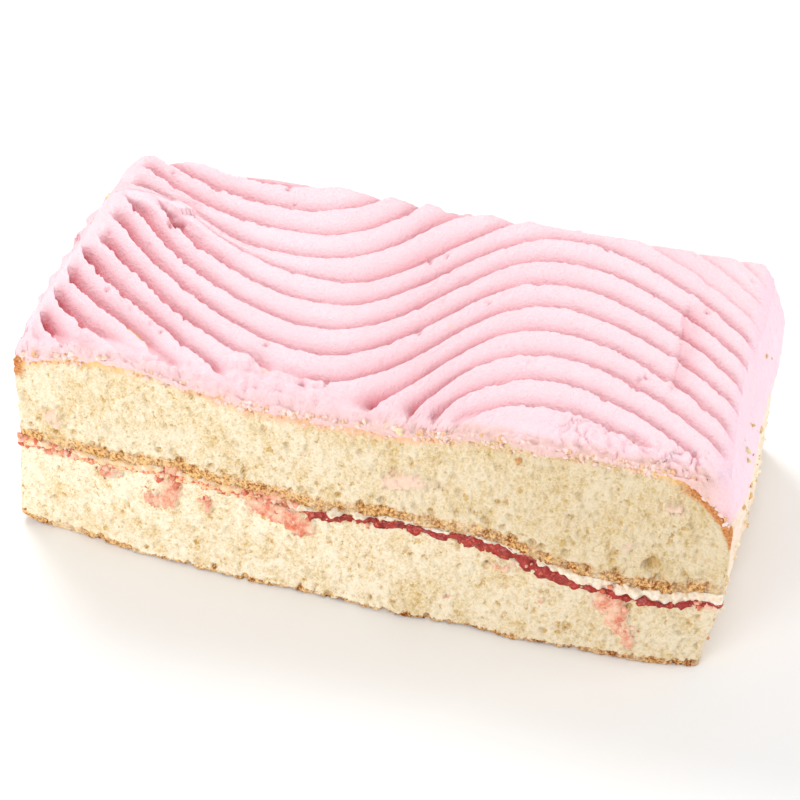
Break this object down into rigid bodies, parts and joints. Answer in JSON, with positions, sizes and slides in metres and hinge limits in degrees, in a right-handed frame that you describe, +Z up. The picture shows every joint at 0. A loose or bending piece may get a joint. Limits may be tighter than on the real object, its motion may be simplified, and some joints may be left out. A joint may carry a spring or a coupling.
{
  "type": "filled sponge cake",
  "caption": "Slab of layered sponge cake with jam and cream between the layers and pink icing combed in waves on top.",
  "frame": {"origin": "middle of the underside of the whole cake's box", "axes": "+X along the slab, towards the end with the rounded shoulder; -Y towards the long cut face; +Z up"},
  "size_m": [0.179, 0.0886, 0.0604],
  "materials": {
    "sponge": "open crumb, dry, golden at the crusts",
    "jam": "glossy red jam",
    "cream": "soft satin cream",
    "icing": "soft satin buttercream"
  },
  "bodies": {
    "root": {"sponge_lower": "sponge", "jam": "jam", "cream": "cream", "sponge_upper": "sponge", "icing": "icing"}
  },
  "joints": []
}
